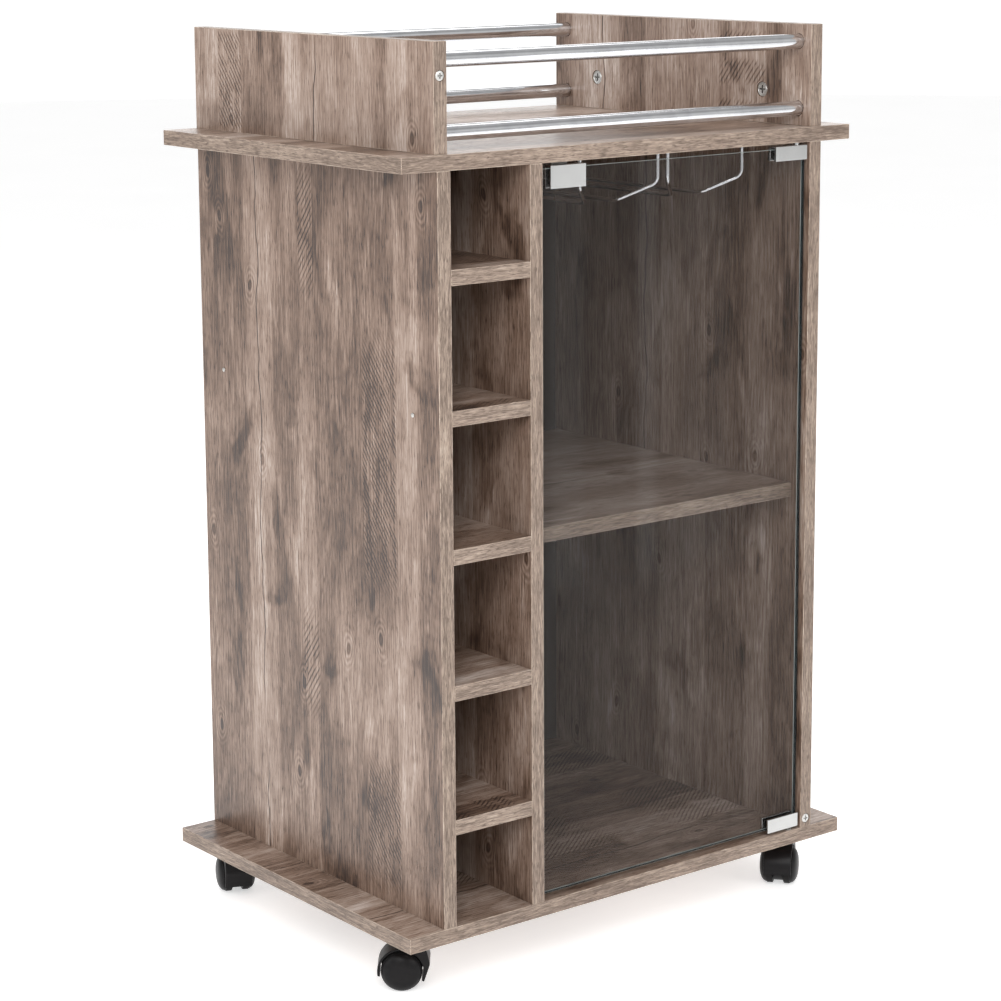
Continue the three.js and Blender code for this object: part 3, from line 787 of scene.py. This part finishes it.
def make_pins():
    for end in ("front", "rear"):
        node = "side_pin_" + end
        low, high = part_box(node)
        radius = (high.z - low.z) / 2
        origin = (low.x, (low.y + high.y) / 2, (low.z + high.z) / 2)
        length = high.x - low.x
        profile = [
            (0, 0), (radius * 0.7, 0.05 * MM), (radius * 0.95, 0.3 * MM), (radius, 0.6 * MM),
            (radius, 1 * MM), (side_pin_shank, 1 * MM), (side_pin_shank, length - 2 * MM),
            (0.2 * MM, length), (0, length),
        ]
        finished(node, lathe(profile, origin, AXES[X], 32), [NICKEL])
        for side in ("left", "right"):
            node = f"shelf_pin_{side}_{end}"
            low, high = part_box(node)
            origin = (0, (low.y + high.y) / 2, (low.z + high.z) / 2)
            pin = rod((high.z - low.z) / 2, low.x, high.x, AXES[X], origin, 0.5 * MM, 32)
            finished(node, pin, [NICKEL])


make_rails()
make_cams()
make_edge_screws()
make_pins()


# ---- Door: glass, clips with their pins, strike plate, bushes and latch ----
clip_height = 15 * MM
pivot_pin = 3 * MM
bush_bore = 3.15 * MM


def make_glass():
    low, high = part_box("glass_door")
    mesh = sorted_faces(block(low, high, 0.5 * MM, 1), Y)
    finished("glass_door", mesh, [GLASS, GLASS_EDGE, GLASS_ARRIS], flat_sides=True)


def channel(low, high, slot_low, slot_high, closed_at, bevel):
    """A plate bent to a U around the glass, drawn in y and z: closed at its top or its bottom."""
    web = slot_high[Z] if closed_at > 0 else slot_low[Z]
    far, near = (low.z, high.z) if closed_at > 0 else (high.z, low.z)
    outline = [
        (low.y, far), (low.y, near), (high.y, near), (high.y, far),
        (slot_high[Y], far), (slot_high[Y], web), (slot_low[Y], web), (slot_low[Y], far),
    ]
    work = drawn_out([(low.x, y, z) for y, z in outline], (high.x - low.x, 0, 0))
    bmesh.ops.recalc_face_normals(work, faces=work.faces)
    outside = [edge for edge in work.edges if edge.calc_face_angle_signed() > 0.1]
    rounded(work, outside, bevel, 3)
    return to_mesh("channel", work)


def make_clips():
    glass_low, glass_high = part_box("glass_door")
    slot_low = glass_low - Vector((seat_gap,) * 3)
    slot_high = glass_high + Vector((seat_gap,) * 3)
    for level, closed_at in (("lower", -1), ("upper", 1)):
        node = "hinge_clip_" + level
        low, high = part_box(node)
        bush = centre_of("pivot_bush_" + level)
        pin_length = high.z - low.z - clip_height
        body_low, body_high = Vector(low), Vector(high)
        if closed_at > 0:
            body_high.z -= pin_length
        else:
            body_low.z += pin_length
        clip = channel(body_low, body_high, slot_low, slot_high, closed_at, 0.7 * MM)
        end = body_high.z if closed_at > 0 else body_low.z
        pin = rod(pivot_pin, -1 * MM, pin_length, AXES[Z] * closed_at, (bush.x, bush.y, end), 0.6 * MM)
        middle = (body_low.z + body_high.z) / 2
        sockets = [
            hole(Y, high.y, -1, (x, high.y, middle), [(2 * MM, 1.2 * MM)])
            for x in (low.x + 12 * MM, high.x - 12 * MM)
        ]
        shape = combined(combined(clip, [pin], "UNION"), sockets)
        finished(node, shape, [SATIN_CHROME] * 3 + [SHADED_RECESS_METAL], flat_sides=True)
        make_bush(level, closed_at)
    low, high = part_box("strike_plate")
    plate = channel(low, high, slot_low, slot_high, 1, 0.45 * MM)
    finished("strike_plate", plate, [SATIN_CHROME], flat_sides=True)


def make_bush(level, into):
    """A sleeve let into the board, with a bore chamfered at its mouth, in which the clip's pin turns."""
    node = "pivot_bush_" + level
    low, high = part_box(node)
    centre = (low + high) / 2
    mouth = low.z if into > 0 else high.z
    length = high.z - low.z
    origin = (centre.x, centre.y, mouth)
    solid = rod((high.x - low.x) / 2, 0, length, AXES[Z] * into, origin, 0.4 * MM)
    profile = [
        (0, -1 * MM), (bush_bore + 1.5 * MM, -1 * MM), (bush_bore, 0.5 * MM),
        (bush_bore, length + 1 * MM), (0, length + 1 * MM),
    ]
    tool = lathe(profile, origin, AXES[Z] * into)
    finished(node, combined(solid, [tool]), [GREY], flat_sides=True)


def make_latch():
    low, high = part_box("latch_housing")
    plunger_low, plunger_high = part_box("latch_plunger")
    centre = (plunger_low + plunger_high) / 2
    radius = (plunger_high.x - plunger_low.x) / 2
    case = block(low, high, 1.2 * MM, 3)
    bore = hole(Y, low.y, 1, (centre.x, low.y, centre.z),
                [(radius + 0.9 * MM, 0.8 * MM), (radius + seat_gap, plunger_high.y - low.y + 2 * MM)])
    screws = [
        hole(Z, low.z, 1, ((low.x + high.x) / 2, y, low.z), [(2.6 * MM, 0.8 * MM)])
        for y in (low.y + 14 * MM, high.y - 10 * MM)
    ]
    shape = combined(case, [bore, *screws])
    finished("latch_housing", shape, [GREY] * 3 + [SHADED_RECESS_METAL], flat_sides=True)
    length = plunger_high.y - plunger_low.y
    profile = [
        (0, 0), (radius * 0.5, 0.15 * MM), (radius * 0.85, 0.7 * MM), (radius, 1.6 * MM),
        (radius, length - 0.5 * MM), (radius - 0.5 * MM, length), (0, length),
    ]
    plunger = lathe(profile, (centre.x, plunger_low.y, centre.z), AXES[Y], 40)
    finished("latch_plunger", plunger, [NICKEL])


make_glass()
make_clips()
make_latch()


# ---- Stemware hangers: one bent wire each ----
wire_bend = 7 * MM
hanger_slot = 39 * MM
leg_drop = 31 * MM
flare_run = 28 * MM


def rounded_route(corners, radius, steps=10):
    """Straight runs between corners, each corner rounded by a short smooth arc."""
    route = [corners[0]]
    for before, corner, after in zip(corners, corners[1:], corners[2:]):
        start = corner + (before - corner).normalized() * radius
        end = corner + (after - corner).normalized() * radius
        for i in range(steps + 1):
            t = i / steps
            route.append(start * (1 - t) ** 2 + corner * 2 * t * (1 - t) + end * t ** 2)
    return route + [corners[-1]]


def make_hangers():
    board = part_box("top_board")[0].z
    for side in ("left", "right"):
        node = "stemware_hanger_" + side
        low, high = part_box(node)
        middle = (low.x + high.x) / 2
        spread = (high.x - low.x) / 2 - wire_radius
        front, rear = low.y + wire_radius, high.y - wire_radius
        rail = low.z + wire_radius
        bridge = board - wire_radius - seat_gap

        def half(s):
            return [
                Vector((middle + s * spread, front, high.z)),
                Vector((middle + s * spread, front, board - leg_drop)),
                Vector((middle + s * hanger_slot / 2, front + flare_run, rail)),
                Vector((middle + s * hanger_slot / 2, rear, rail)),
                Vector((middle + s * hanger_slot / 2, rear, bridge)),
            ]

        route = rounded_route([*half(-1), *reversed(half(1))], wire_bend)
        curve = bpy.data.curves.new(node, "CURVE")
        curve.dimensions = "3D"
        curve.bevel_depth = wire_radius
        curve.bevel_resolution = 6
        curve.use_fill_caps = True
        line = curve.splines.new("POLY")
        line.points.add(len(route) - 1)
        for spot, place in zip(line.points, route):
            spot.co = (*place, 1.0)
        drawn = link("route", curve)
        mesh = bpy.data.meshes.new_from_object(drawn)
        bpy.data.objects.remove(drawn)
        mesh.materials.clear()
        finished(node, mesh, [CHROME])


make_hangers()


# ---- Casters ----
# A caster is drawn with its swivel axis at x = 0, its wheels trailing at +x and its axle along y.
hood_wall = 2.2 * MM
hood_clearance = 1.3 * MM
hood_width = 29 * MM
web_width = 10 * MM
web_radius = 17 * MM
boss_radius = 8.5 * MM
stem_radius, stem_hole = 4 * MM, 4.12 * MM
axle_radius, axle_hole, wheel_bore = 2.5 * MM, 2.56 * MM, 2.62 * MM
# Distances along the axle: a wheel's inner face, its tread's outer edge, its dome's top.
wheel_inner, wheel_tread, wheel_reach = 5.6 * MM, 12.2 * MM, 20.5 * MM
tread_depth = 1.0 * MM
plate_thickness, race_thickness, race_radius = 2.5 * MM, 2 * MM, 11 * MM
plate_screw_inset = 5 * MM
# Where the hood's outline ends behind and in front, as angles round the axle.
hood_tip = -0.22
nose_tip = math.pi + math.radians(24.8)


def arc(centre, radius, start, end, steps):
    turns = [start + (end - start) * i / steps for i in range(steps + 1)]
    return [(centre[0] + radius * math.cos(t), centre[1] + radius * math.sin(t)) for t in turns]


def softened(corners, radius, steps=4):
    """The inner corners of an open outline, each rounded by a short arc."""
    points = [Vector((x, 0, z)) for x, z in corners]
    return [(p.x, p.z) for p in rounded_route(points, radius, steps)]


def hood_outline(trail, wheel):
    """An arc over the wheels, a flat top round the stem and a pointed nose in front."""
    centre = (trail, wheel)
    inside = wheel + hood_clearance
    outside = inside + hood_wall
    nose = trail - outside - 4 * MM
    crown = arc(centre, outside, hood_tip * 0.85, math.pi / 2, 26)
    front = [
        crown[-1], (nose + 2 * MM + hood_wall, wheel + outside),
        (nose + 2 * MM, wheel + outside - 6.5 * MM), (nose, wheel + 7.5 * MM),
        arc(centre, outside + 0.3 * MM, nose_tip, nose_tip, 1)[0],
    ]
    under = arc(centre, inside, nose_tip, hood_tip, 34)
    return crown[:-1] + softened(front, 1.4 * MM) + under


def web_outline(trail, wheel, top):
    side = arc((trail, wheel), web_radius, math.pi, 2 * math.pi, 24)
    return [*side, (trail + web_radius, top), (trail - web_radius, top)]


def wheel_profile(radius):
    """From the bore over the tread and the domed cap to the axis."""
    inner, tread, reach = wheel_inner, wheel_tread, wheel_reach
    bore, bore_end = wheel_bore, tread + (reach - tread) / 2
    dome_steps = 14
    dome = []
    for i in range(1, dome_steps + 1):
        angle = i / dome_steps * math.pi / 2
        from_axle = radius * 0.965 * max(math.cos(angle), 0) ** 0.75
        dome.append((from_axle, tread + (reach - tread) * math.sin(angle)))
    rim = dome[1]
    return [
        (0, bore_end), (bore, bore_end), (bore, inner + 0.3 * MM), (bore + 0.3 * MM, inner),
        (radius * 0.42, inner), (radius * 0.45, inner + 0.5 * MM), (radius * 0.78, inner + 0.5 * MM),
        (radius * 0.82, inner), (radius - tread_depth, inner), (radius - 0.3 * MM, inner + 0.3 * MM),
        (radius, inner + 1.0 * MM), (radius, tread - 0.6 * MM), (radius - 0.25 * MM, tread - 0.1 * MM),
        (radius - 0.9 * MM, tread), (radius - 0.95 * MM, tread + 0.25 * MM), *dome[:2],
        (rim[0] - 0.55 * MM, rim[1] + 0.05 * MM), (rim[0] - 0.7 * MM, rim[1] + 0.45 * MM), *dome[2:-1],
        (0, reach),
    ]


def placed(mesh, matrix):
    mesh.transform(matrix)
    return mesh


def make_hood(corner, wheel, trail, boss_top, turned):
    """A shell over the wheels, a web between them that holds the axle, and the stem's boss."""
    shell = slab(hood_outline(trail, wheel), hood_width, 0.75 * MM, 3)
    web_top = wheel + math.sqrt((wheel + hood_clearance) ** 2 - web_radius ** 2) + hood_wall / 3
    web = slab(web_outline(trail, wheel, web_top), web_width, 0.5 * MM)
    inside = 2 * wheel + hood_clearance - 1 * MM
    boss_profile = [
        (0, inside), (boss_radius, inside), (boss_radius, boss_top - 0.8 * MM),
        (boss_radius - 0.8 * MM, boss_top), (0, boss_top),
    ]
    bore_low, bore_high = inside - 9 * MM, boss_top + 1 * MM
    bore_profile = [(0, bore_low), (stem_hole, bore_low), (stem_hole, bore_high), (0, bore_high)]
    boss, stem_bore = (lathe(profile, (0, 0, 0), AXES[Z]) for profile in (boss_profile, bore_profile))
    axle_bore = rod(axle_hole, -web_width, web_width, AXES[Y], (trail, 0, wheel), 0.1 * MM, 32)
    hood = combined(combined(shell, [web, boss], "UNION"), [stem_bore, axle_bore])
    finished("caster_hood_" + corner, placed(hood, turned), [BLACK], flat_sides=True)


def make_wheels(corner, wheel, trail, turned):
    """Two wheels, each a tread ring and a domed cap with a rim line, on one axle."""
    for side, s in (("a", 1), ("b", -1)):
        ring = lathe(wheel_profile(wheel), (trail, 0, wheel), AXES[Y] * s, 72)
        for face in ring.polygons:
            off = face.center - Vector((trail, 0, wheel))
            if math.hypot(off.x, off.z) > wheel - tread_depth and abs(off.y) < wheel_tread:
                face.material_index = 1
        node = f"caster_wheel_{corner}_{side}"
        finished(node, placed(ring, turned), [BLACK, BLACK_TREAD])
    axle_half = wheel_tread + (wheel_reach - wheel_tread) / 2 - 0.5 * MM
    axle = rod(axle_radius, -axle_half, axle_half, AXES[Y], (trail, 0, wheel), 0.3 * MM, 32)
    finished("caster_axle_" + corner, placed(axle, turned), [NICKEL])


def make_plate(corner, stem_low, top, half, race_bottom, at):
    """The mounting plate: rounded corners, four screws, the ball race and the stem."""
    corner_round = 4 * MM
    rim = []
    for turn, (sx, sy) in enumerate(((1, 1), (-1, 1), (-1, -1), (1, -1))):
        middle = (sx * (half - corner_round), sy * (half - corner_round))
        rim += arc(middle, corner_round, turn * math.pi / 2, (turn + 1) * math.pi / 2, 6)
    lying = Matrix.Translation((0, 0, top - plate_thickness / 2)) @ Matrix.Rotation(math.pi / 2, 4, "X")
    plate = placed(slab(rim, plate_thickness, 0.45 * MM), lying)
    sunk = top - 1 * MM
    race_profile = [
        (0, race_bottom), (race_radius - 1.4 * MM, race_bottom),
        (race_radius - 0.4 * MM, race_bottom + 0.3 * MM), (race_radius, race_bottom + 0.9 * MM),
        (race_radius, sunk), (0, sunk),
    ]
    race = lathe(race_profile, (0, 0, 0), AXES[Z], 64)
    stem = rod(stem_radius, stem_low, sunk, AXES[Z], (0, 0, 0), 0.6 * MM, 32)
    head = [
        (0, -1.5 * MM), (1.6 * MM, -1.4 * MM), (2.6 * MM, -0.9 * MM), (3 * MM, -0.2 * MM),
        (3 * MM, 0.5 * MM), (0, 0.5 * MM),
    ]
    out = half - plate_screw_inset
    screws = [
        lathe(head, (sx * out, sy * out, top - plate_thickness), AXES[Z], 32)
        for sx in (-1, 1) for sy in (-1, 1)
    ]
    plate = combined(plate, [race, stem, *screws], "UNION")
    finished("caster_plate_" + corner, placed(plate, at), [NICKEL], flat_sides=True)


def make_caster(corner, joints):
    axle_at = Vector(joints[f"roll_{corner}_a"]["pos_m"])
    pivot = Vector(joints["swivel_" + corner]["pos_m"])
    wheel = axle_at.z
    trail_line = Vector((axle_at.x - pivot.x, axle_at.y - pivot.y))
    at = Matrix.Translation((pivot.x, pivot.y, 0))
    turned = at @ Matrix.Rotation(math.atan2(*trail_line.yx), 4, "Z")
    plate_low, plate_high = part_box("caster_plate_" + corner)
    race_bottom = plate_high.z - plate_thickness - race_thickness
    make_hood(corner, wheel, trail_line.length, race_bottom - 0.5 * MM, turned)
    make_wheels(corner, wheel, trail_line.length, turned)
    half = (plate_high.x - plate_low.x) / 2
    make_plate(corner, plate_low.z, plate_high.z, half, race_bottom, at)


def make_casters():
    joints = {joint["name"]: joint for joint in frame["joints"]}
    for corner in ("front_left", "front_right", "rear_left", "rear_right"):
        make_caster(corner, joints)


make_casters()


# ---- Studio: a white floor, a white backdrop, a surround whose brightness changes with height, and soft lights ----
WHITE = (1, 1, 1, 1)
floor_glow = 0.52
backdrop_level = 1.05
surround_level = 0.66
# What surrounds the cart: (height from level to overhead, brightness).
surround_heights = [(0.0, 0.72), (0.12, 0.95), (0.35, 1.0), (0.6, 0.55), (0.85, 0.9)]


def make_floor():
    work = bmesh.new()
    bmesh.ops.create_circle(work, cap_ends=True, segments=96, radius=12.0)
    floor = link("floor", to_mesh("floor", work))
    shade = Shade("studio_floor")
    mottle = shade.place_noise((3, 3, 3))
    shade.set(Base_Color=shade.ramp(mottle, [(0.3, (0.82, 0.82, 0.82, 1)), (0.7, (0.85, 0.85, 0.85, 1))]))
    shade.set(Roughness=0.7, Specular_IOR_Level=0.2)
    shade.set(Emission_Color=WHITE, Emission_Strength=floor_glow)
    floor.data.materials.append(shade.material)


def make_world():
    """White to the camera; to everything else a studio whose brightness changes with height."""
    world = bpy.data.worlds.new("studio")
    world.use_nodes = True
    bpy.context.scene.world = world
    tree = world.node_tree
    new, connect = tree.nodes.new, tree.links.new
    seen = tree.nodes["Background"]
    seen.inputs[0].default_value = WHITE
    seen.inputs[1].default_value = backdrop_level
    lit = new("ShaderNodeBackground")
    place = new("ShaderNodeTexCoord")
    split = new("ShaderNodeSeparateXYZ")
    connect(place.outputs["Generated"], split.inputs[0])
    ramp = new("ShaderNodeValToRGB")
    connect(split.outputs[2], ramp.inputs[0])
    for i, (height, level) in enumerate(surround_heights):
        stop = ramp.color_ramp.elements[i] if i < 2 else ramp.color_ramp.elements.new(1.0)
        stop.position = height
        stop.color = (level, level, level, 1)
    connect(ramp.outputs[0], lit.inputs[0])
    lit.inputs[1].default_value = surround_level
    ray = new("ShaderNodeLightPath")
    mix = new("ShaderNodeMixShader")
    connect(ray.outputs["Is Camera Ray"], mix.inputs[0])
    connect(lit.outputs[0], mix.inputs[1])
    connect(seen.outputs[0], mix.inputs[2])
    connect(mix.outputs[0], tree.nodes["World Output"].inputs[0])


def make_light(name, place, aim, size, power):
    data = bpy.data.lights.new(name, "AREA")
    data.shape = "RECTANGLE"
    data.size, data.size_y = size
    data.energy = power
    light = bpy.data.objects.new(name, data)
    bpy.context.scene.collection.objects.link(light)
    light.location = place
    light.visible_camera = False
    light.rotation_euler = (Vector(aim) - Vector(place)).to_track_quat("-Z", "Y").to_euler()


def make_studio():
    make_floor()
    make_world()
    middle = (0, 0, 0.45)
    make_light("key", (-1.9, -2.3, 2.3), middle, (1.6, 1.6), 66)
    make_light("side", (-2.8, 0.3, 1.5), middle, (1.4, 1.8), 16)
    make_light("top", (0.3, 0.4, 3.0), middle, (2.4, 2.4), 30)
    make_light("back", (2.2, 3.0, 1.9), (0, 0, 0.8), (3.4, 1.6), 24)
    make_light("front", (0.5, -2.6, 1.25), (0.05, 0, 0.5), (1.2, 0.6), 13)
    # Narrow upright lights for streaks in the metal and glass.
    for x, width in ((0.86, 0.05), (1.02, 0.03), (1.14, 0.07)):
        make_light(f"streak_{x:.2f}", (x, -1.35, 0.4), (x - 0.8, -0.2, 0.4), (width, 1.0), 0.12)
    bpy.context.scene.view_settings.view_transform = "Standard"


make_studio()
